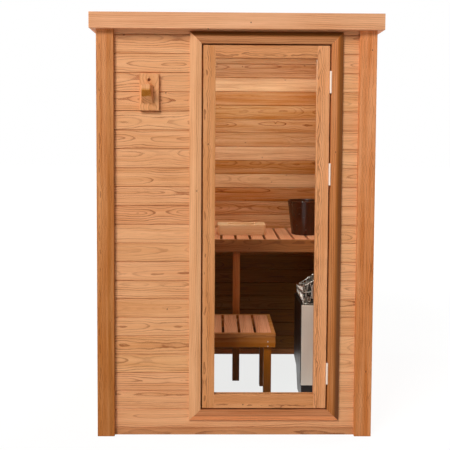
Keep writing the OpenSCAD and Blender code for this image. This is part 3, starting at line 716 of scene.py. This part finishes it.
# Stove enamel on sheet steel: black, half gloss, with the faint orange peel of a baked coat.
def stoveEnamel():
    material, add = newMaterial("stoveEnamelBaked")
    where = add("ShaderNodeTexCoord").outputs["Object"]
    peel = add("ShaderNodeTexNoise", {"Vector": where, "Scale": 1 / (3 * mm), "Detail": 1.0})
    dustAndReflection = add("ShaderNodeTexNoise", {"Vector": where, "Scale": 9.0, "Detail": 3.0})
    # the brown in these blacks is partly painted reflection of the cedar round the heater, in patches with
    # the dust
    colour = add("ShaderNodeValToRGB", {"Fac": dustAndReflection.outputs["Fac"]},
                 stops=[(0.35, linear("#150f0b")), (0.7, linear("#33211a"))])
    gloss = add("ShaderNodeMapRange", {"Value": dustAndReflection.outputs["Fac"], 1: 0.3, 2: 0.7, 3: 0.28, 4: 0.40})
    bump = add("ShaderNodeBump", {"Height": peel.outputs["Fac"], "Strength": 0.10, "Distance": 0.1 * mm})
    surface = add("ShaderNodeBsdfPrincipled", {"Base Color": colour, "Roughness": gloss, "Normal": bump,
                                               "Specular IOR Level": 0.3})
    add("ShaderNodeOutputMaterial", {"Surface": surface})
    return material


# Split diabase: dark grey, dull, with fine crystals and paler dust on its faces.
def splitDiabase():
    material, add = newMaterial("diabaseSplit")
    where = add("ShaderNodeTexCoord").outputs["Object"]
    # crystals of 1 mm, drawn 3 mm
    crystals = add("ShaderNodeTexVoronoi", {"Vector": where, "Scale": 1 / (3 * mm)})
    patches = add("ShaderNodeTexNoise", {"Vector": where, "Scale": 1 / (28 * mm), "Detail": 5.0,
                                         "Roughness": 0.6})
    speck = add("ShaderNodeSeparateColor", {0: crystals.outputs["Color"]})
    shade = add("ShaderNodeMath", {0: speck, 1: 0.3, 2: patches.outputs["Fac"]}, operation="MULTIPLY_ADD")
    colour = add("ShaderNodeValToRGB", {"Fac": shade},
                 stops=[(0.44, linear("#221f1c")), (0.62, linear("#46413a")), (0.88, linear("#857e74"))])
    height = add("ShaderNodeMath", {0: patches.outputs["Fac"], 1: crystals.outputs["Distance"]})
    bump = add("ShaderNodeBump", {"Height": height, "Strength": 0.6, "Distance": 1.2 * mm})
    surface = add("ShaderNodeBsdfPrincipled", {"Base Color": colour, "Roughness": 0.85, "Normal": bump,
                                               "Specular IOR Level": 0.3})
    add("ShaderNodeOutputMaterial", {"Surface": surface})
    return material


# Moulded polypropylene, dark brown and polished in the mould.
def mouldedBrown():
    material, add = newMaterial("polypropyleneMoulded")
    where = add("ShaderNodeTexCoord").outputs["Object"]
    flow = add("ShaderNodeTexNoise", {"Vector": where, "Scale": 7.0, "Detail": 2.0})
    colour = add("ShaderNodeValToRGB", {"Fac": flow.outputs["Fac"]},
                 stops=[(0.35, linear("#38180a")), (0.65, linear("#4a230e"))])
    wipe = add("ShaderNodeTexNoise", {"Vector": where, "Scale": 40.0, "Detail": 3.0})
    gloss = add("ShaderNodeMapRange", {"Value": wipe.outputs["Fac"], 1: 0.3, 2: 0.7, 3: 0.20, 4: 0.28})
    surface = add("ShaderNodeBsdfPrincipled", {"Base Color": colour, "Roughness": gloss, "IOR": 1.49})
    add("ShaderNodeOutputMaterial", {"Surface": surface})
    return material


glass = temperedGlass()
hingeSteel = brushedSteel("stainlessHingeSatin", "#efdccb", 0.38, "z")
screwSteel = brushedSteel("stainlessScrewTurned", "#d5cec4", 0.32, "x")
coverSteel = brushedSteel("stainlessSheetBrushed", "#e4dcd1", 0.70, "z")
wireSteel = brushedSteel("steelWireDrawn", "#c9c3ba", 0.30, "z")
enamel = stoveEnamel()
stone = splitDiabase()
brownPlastic = mouldedBrown()

makePiece("door_pane", eased(cadCopy("door_glass"), 0.6 * mm, 1), glass, "door", "glass", "door_glass")
makePiece("frame_hinge_leaves", smoothed(cadCopy("hinges_on_frame")), hingeSteel, "root", "hinge_steel",
          "hinges_on_frame")
makePiece("door_hinge_leaves", smoothed(cadCopy("hinges_on_door")), hingeSteel, "door", "hinge_steel",
          "hinges_on_door")
makePiece("heater_sheet_cover", eased(cadCopy("heater_cover"), 2.5 * mm, 3), coverSteel, "root",
          "heater_cover", "heater_cover")
makePiece("heater_case", eased(cadCopy("heater_body"), 2.0 * mm, 2), enamel, "root", "heater_black",
          "heater_body")
makePiece("heater_plinth", eased(cadCopy("heater_foot"), 2.0 * mm, 2), enamel, "root", "heater_black",
          "heater_foot")
print("glass, hinges and heater case dressed")


# screws

screw = {"head": 3.6 * mm, "proud": 0.5 * mm, "crossLong": 3.6 * mm, "crossWide": 0.9 * mm,
         "crossDeep": 0.35 * mm, "sides": 20}


def revolved(outline, sides):
    # a closed shape turned about z from (radius, height) points that start and end on the axis
    points = [(0, 0, outline[0][1])]
    for r, h in outline[1:-1]:
        for i in range(sides):
            turn = 2 * math.pi * i / sides
            points.append((r * math.cos(turn), r * math.sin(turn), h))
    points.append((0, 0, outline[-1][1]))
    last, rings = len(points) - 1, len(outline) - 2
    faces = []
    for i in range(sides):
        j = (i + 1) % sides
        faces.append((0, 1 + j, 1 + i))
        faces.append((last, last - sides + i, last - sides + j))
        for k in range(rings - 1):
            a, b = 1 + k * sides, 1 + (k + 1) * sides
            faces.append((a + i, a + j, b + j, b + i))
    return facedOut(meshFrom(points, faces))


headMesh = revolved([(0, -1.0 * mm), (screw["head"] * 0.6, -1.0 * mm), (screw["head"], screw["proud"] * 0.3),
                     (screw["head"] * 0.93, screw["proud"] * 0.8), (screw["head"] * 0.6, screw["proud"]),
                     (0, screw["proud"])], screw["sides"])
long, wide, deep = screw["crossLong"] / 2, screw["crossWide"] / 2, screw["proud"] - screw["crossDeep"]
for halfX, halfY in ((long, wide), (wide, long)):
    headMesh = cutAway(headMesh, boxMesh([((-halfX, -halfY, deep), (halfX, halfY, 2 * mm))]))


def screwRow(count, step, start, facing):
    # a row of heads from start, each facing along that direction
    turn = Vector(facing).to_track_quat("Z", "Y").to_matrix().to_4x4()
    head = headMesh.copy()
    head.transform(turn)
    row = runTree(rowTree, head, {"Count": count, "Step": step, "Material": screwSteel})
    row.transform(Matrix.Translation(start))
    return row


lo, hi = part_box("hinges_on_frame")
hinge = {"long": 102 * mm, "middle": 1242 * mm, "leaf": 2 * mm}
hingeMiddles = (lo.z + hinge["long"] / 2, hinge["middle"], hi.z - hinge["long"] / 2)
leafScrews = {"apart": 51 * mm, "near": 8 * mm, "far": 20 * mm, "shift": 12.75 * mm}


def leafRows(leafX, facing):
    rows = []
    for middle in hingeMiddles:
        for inset, side in ((leafScrews["near"], -1), (leafScrews["far"], 1)):
            start = (leafX, hi.y - inset, middle + side * leafScrews["shift"] - leafScrews["apart"] / 2)
            rows.append(screwRow(2, (0.0, 0.0, leafScrews["apart"]), start, facing))
    return smoothed(joined(rows))


frameFace, doorFace = hi.x - hinge["leaf"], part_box("hinges_on_door")[0].x + hinge["leaf"]
makePiece("frame_hinge_screws", leafRows(frameFace, (-1, 0, 0)), screwSteel, "root", "hinge_steel")
makePiece("door_hinge_screws", leafRows(doorFace, (1, 0, 0)), screwSteel, "door", "hinge_steel")

lo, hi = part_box("lower_bench_frame")
legLo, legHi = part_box("lower_bench_legs")
benchScrews = {"apart": 24.7 * mm, "up": 4.6 * mm}
benchRow = screwRow(2, (0.0, 0.0, benchScrews["apart"]),
                    ((legLo.x + legHi.x) / 2, lo.y, lo.z + benchScrews["up"]), (0, -1, 0))
makePiece("bench_screws", smoothed(benchRow), screwSteel, "root", "hinge_steel")
print("screws set")


# stone guard

guard = {
    "wire": 1.9 * mm, "sides": 10, "bend": 13 * mm, "smallBend": 5 * mm,
    "ringHeights": (6 * mm, 78 * mm, 152 * mm),
    "zigzagAcross": 3, "zigzagDeep": 4,
    "strapAt": 420.5 * mm, "strapWide": 13 * mm, "strapHigh": 73 * mm, "strapLow": 35 * mm,
    "strapThick": 1.6 * mm, "crownLow": 0.66, "crownRise": 0.95, "crownFall": 0.55,
}
wireTree, add, given = newTree("bentWire", {"Radius": "Float", "Bend": "Float", "Sides": "Int",
                                            "Material": "Material"})
spine = add("GeometryNodeMeshToCurve", {0: given["Geometry"]})
bent = add("GeometryNodeFilletCurve", {"Curve": spine, "Count": 5, "Radius": given["Bend"],
                                       "Limit Radius": True}, mode="POLY")
circle = add("GeometryNodeCurvePrimitiveCircle", {"Resolution": given["Sides"], "Radius": given["Radius"]})
swept = add("GeometryNodeCurveToMesh", {"Curve": bent, "Profile Curve": circle.outputs["Curve"],
                                        "Fill Caps": True})
soft = add("GeometryNodeSetShadeSmooth", {"Geometry": swept})
real = add("GeometryNodeRealizeInstances", {"Geometry": soft})
dressed = add("GeometryNodeSetMaterial", {"Geometry": real, "Material": given["Material"]})
add("NodeGroupOutput", {"Geometry": dressed})


def wires(paths, bend):
    points, edges = [], []
    for path, closed in paths:
        n = len(points)
        points += path
        edges += [(n + i, n + i + 1) for i in range(len(path) - 1)]
        if closed:
            edges.append((n + len(path) - 1, n))
    return runTree(wireTree, meshFrom(points, edges=edges),
                   {"Radius": guard["wire"], "Bend": bend, "Sides": guard["sides"], "Material": wireSteel})


lo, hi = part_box("heater_guard")
thin = guard["wire"]
inner, outer = Vector((lo.x + thin, lo.y + thin)), Vector((hi.x - thin, hi.y - thin))


def crownAt(px, py):
    # the guard's top, as a share of its full height: it slopes down to the bench, most at the back
    right = min(max((px - inner.x) / (outer.x - inner.x), 0), 1)
    back = min(max((py - inner.y) / (outer.y - inner.y), 0), 1)
    return (min(1.0, guard["crownLow"] + guard["crownRise"] * right)
            * (1 - guard["crownFall"] * back * (1 - right)))


def ringAt(inset, rise):
    a, b = inner.x + inset, outer.x - inset
    c, d = inner.y + inset, outer.y - inset
    middle = (a + b) / 2
    corners = [(a, c), (middle, c), (b, c), (b, d), (middle, d), (a, d)]
    full = guard["ringHeights"][-1]
    return [(px, py, lo.z + rise * (1 + (crownAt(px, py) - 1) * min(rise / full, 1))) for px, py in corners]


rings = [(ringAt(2 * thin, rise), True) for rise in guard["ringHeights"]]
ringMesh = wires(rings, guard["bend"])


def zigzag(start, end, count, low, high, flip):
    # one wire bent up and down along a side
    path = []
    for i in range(2 * count + 1):
        share = i / (2 * count)
        up = (i + flip) % 2
        px, py = start[0] + (end[0] - start[0]) * share, start[1] + (end[1] - start[1]) * share
        path.append((px, py, low + (high - low) * crownAt(px, py) if up else low))
    return path


zigzags = []
low, high = lo.z + thin, hi.z - thin
a, b, c, d = inner.x, outer.x, inner.y, outer.y
for start, end, count in (((a, c), (b, c), guard["zigzagAcross"]), ((b, d), (a, d), guard["zigzagAcross"]),
                          ((a, d), (a, c), guard["zigzagDeep"]), ((b, c), (b, d), guard["zigzagDeep"])):
    zigzags += [(zigzag(start, end, count, low, high, flip), False) for flip in (0, 1)]
zigzagMesh = wires(zigzags, guard["smallBend"])
strapX, strapHalf, strapZ = guard["strapAt"], guard["strapWide"] / 2, lo.z + guard["strapLow"]
strapMesh = boxMesh([((strapX - strapHalf, lo.y, strapZ),
                      (strapX + strapHalf, lo.y + guard["strapThick"], strapZ + guard["strapHigh"]))])
strapMesh = eased(strapMesh, 0.5 * mm)
guardMesh = joined([ringMesh, zigzagMesh, strapMesh])
makePiece("heater_stone_guard", smoothed(guardMesh, 50), wireSteel, "root", "guard_wire", "heater_guard")
print("stone guard bent")


# stones

stones = {
    "kinds": 7, "corners": 17, "shape": (1.15, 0.95, 0.75), "small": 21 * mm, "large": 30 * mm,
    "across": 4, "deep": 6, "layers": 4, "astray": 0.25, "astrayUp": 0.2, "slump": 0.22,
    "over": 0.05, "seed": 5,
}
heap = random.Random(stones["seed"])
kinds = bpy.data.collections.new("stoneKinds")
for kind in range(stones["kinds"]):
    chip = bmesh.new()
    for _ in range(stones["corners"]):
        p = Vector([heap.gauss(0, 1) for _ in range(3)]).normalized() * heap.uniform(0.85, 1.0)
        chip.verts.new([part * stretch for part, stretch in zip(p, stones["shape"])])
    bmesh.ops.convex_hull(chip, input=chip.verts)
    bmesh.ops.delete(chip, geom=[v for v in chip.verts if not v.link_faces], context="VERTS")
    bmesh.ops.dissolve_limit(chip, angle_limit=math.radians(14), verts=chip.verts, edges=chip.edges)
    chipMesh = bpy.data.meshes.new("chip")
    chip.to_mesh(chipMesh)
    chip.free()
    chipMesh = eased(chipMesh, 0.07, 1, 12)
    kinds.objects.link(bpy.data.objects.new("chip%d" % kind, chipMesh))

stoneTree, add, given = newTree("stoneHeap", {"Kinds": "Collection", "Small": "Float", "Large": "Float",
                                              "Seed": "Int", "Material": "Material"})
shapes = add("GeometryNodeCollectionInfo", {"Collection": given["Kinds"], "Separate Children": True,
                                            "Reset Children": True})
turns = add("FunctionNodeRandomValue", {0: (0.0, 0.0, 0.0), 1: (6.28, 6.28, 6.28), "Seed": given["Seed"]},
            data_type="FLOAT_VECTOR")
sizesOf = add("FunctionNodeRandomValue", {2: given["Small"], 3: given["Large"], "Seed": given["Seed"]},
              data_type="FLOAT")
spots = add("GeometryNodeMeshToPoints", {0: given["Geometry"]})
placed = add("GeometryNodeInstanceOnPoints", {"Points": spots, "Instance": shapes, "Pick Instance": True,
                                              "Rotation": turns, "Scale": sizesOf.outputs[1]})
real = add("GeometryNodeRealizeInstances", {"Geometry": placed})
dressed = add("GeometryNodeSetMaterial", {"Geometry": real, "Material": given["Material"]})
add("NodeGroupOutput", {"Geometry": dressed})

lo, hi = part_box("heater_stones")
places, stray, strayUp = [], stones["astray"], stones["astrayUp"]
for layer in range(stones["layers"]):
    for row in range(stones["deep"]):
        for column in range(stones["across"]):
            shareX = (column + 0.5 + heap.uniform(-stray, stray)) / stones["across"]
            shareY = (row + 0.5 + heap.uniform(-stray, stray)) / stones["deep"]
            crown = 1 - stones["slump"] * (abs(2 * shareX - 1) + abs(2 * shareY - 1))
            shareZ = (layer + 0.5 + heap.uniform(-strayUp, strayUp)) / stones["layers"] * crown
            places.append((lo.x + (hi.x - lo.x) * shareX, lo.y + (hi.y - lo.y) * shareY,
                           lo.z + (hi.z - lo.z) * shareZ))
stoneMesh = runTree(stoneTree, meshFrom(places),
                    {"Kinds": kinds, "Small": stones["small"], "Large": stones["large"],
                     "Seed": stones["seed"], "Material": stone})
for vertex in stoneMesh.vertices:
    # the guard holds the stones in
    vertex.co = [min(max(vertex.co[k], lo[k]), hi[k]) for k in range(3)]
    crown = min(1.0, stones["over"] + crownAt(vertex.co.x, vertex.co.y))
    vertex.co.z = lo.z + (vertex.co.z - lo.z) * crown
for chipObject in list(kinds.objects):
    bpy.data.objects.remove(chipObject)
makePiece("heater_stone_heap", stoneMesh, stone, "root", "stone", "heater_stones")
print("stones heaped")


# bucket and basin

lo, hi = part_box("water_bucket")
bucket = {"wall": 3.5 * mm, "lip": 4 * mm, "foot": 84 * mm, "sides": 96}
rim, tall = (hi.x - lo.x) / 2, hi.z - lo.z
foot, wall, neck = bucket["foot"], bucket["wall"], rim - bucket["lip"]
inside = neck - wall
slope = (neck - foot) / (tall - 12 * mm)
bucketOutline = [
    # foot ring
    (0, 3 * mm), (foot - 9 * mm, 3 * mm), (foot - 7 * mm, 0.4 * mm), (foot - 5 * mm, 0),
    (foot - 1.5 * mm, 0), (foot, 1.5 * mm),
    # up the side
    (foot + slope * 6 * mm, 6 * mm), (foot + slope * 60 * mm, 60 * mm),
    (foot + slope * 120 * mm, 120 * mm), (neck, tall - 12 * mm),
    # rolled lip
    (neck + 0.6 * mm, tall - 10 * mm), (rim - 0.8 * mm, tall - 9 * mm), (rim, tall - 7 * mm),
    (rim, tall - 3 * mm), (rim - 0.9 * mm, tall - 0.9 * mm), (rim - 3 * mm, tall),
    # down the inside to the bottom
    (inside + 2.4 * mm, tall - 0.3 * mm), (inside + 0.6 * mm, tall - 2 * mm), (inside, tall - 5 * mm),
    (foot - wall + slope * 60 * mm, 60 * mm), (foot - wall + 1 * mm, 12 * mm),
    (foot - wall - 1.5 * mm, 8.5 * mm), (foot - wall - 6 * mm, 7 * mm), (0, 7 * mm),
]
bucketMesh = revolved(bucketOutline, bucket["sides"])
bucketMesh.transform(Matrix.Translation(((lo.x + hi.x) / 2, (lo.y + hi.y) / 2, lo.z)))
makePiece("bucket_moulded", smoothed(bucketMesh, 38), brownPlastic, "root", "bucket", "water_bucket")

# Aspen, milled from the block and sanded: nearly white, close-grained, lightly oiled.
aspen = cedar("aspenMilled", dict(plainCut, early="#ffd6ac", late="#e5a878", ring=5 * mm, drift=10 * mm,
                                  aside=(20 * mm, 30 * mm), fade=0.2, streak=0.04, knots=0.0))
basinMesh = smoothed(eased(cadCopy("wooden_basin"), 2.5 * mm, 3, 50), 30, flatArea=4e-4)
makePiece("basin_milled", markPlanks(basinMesh, seeds["basin"]), aspen, "root", "basin_wood",
          "wooden_basin")
print("bucket and basin set")


# end

print("scene built")
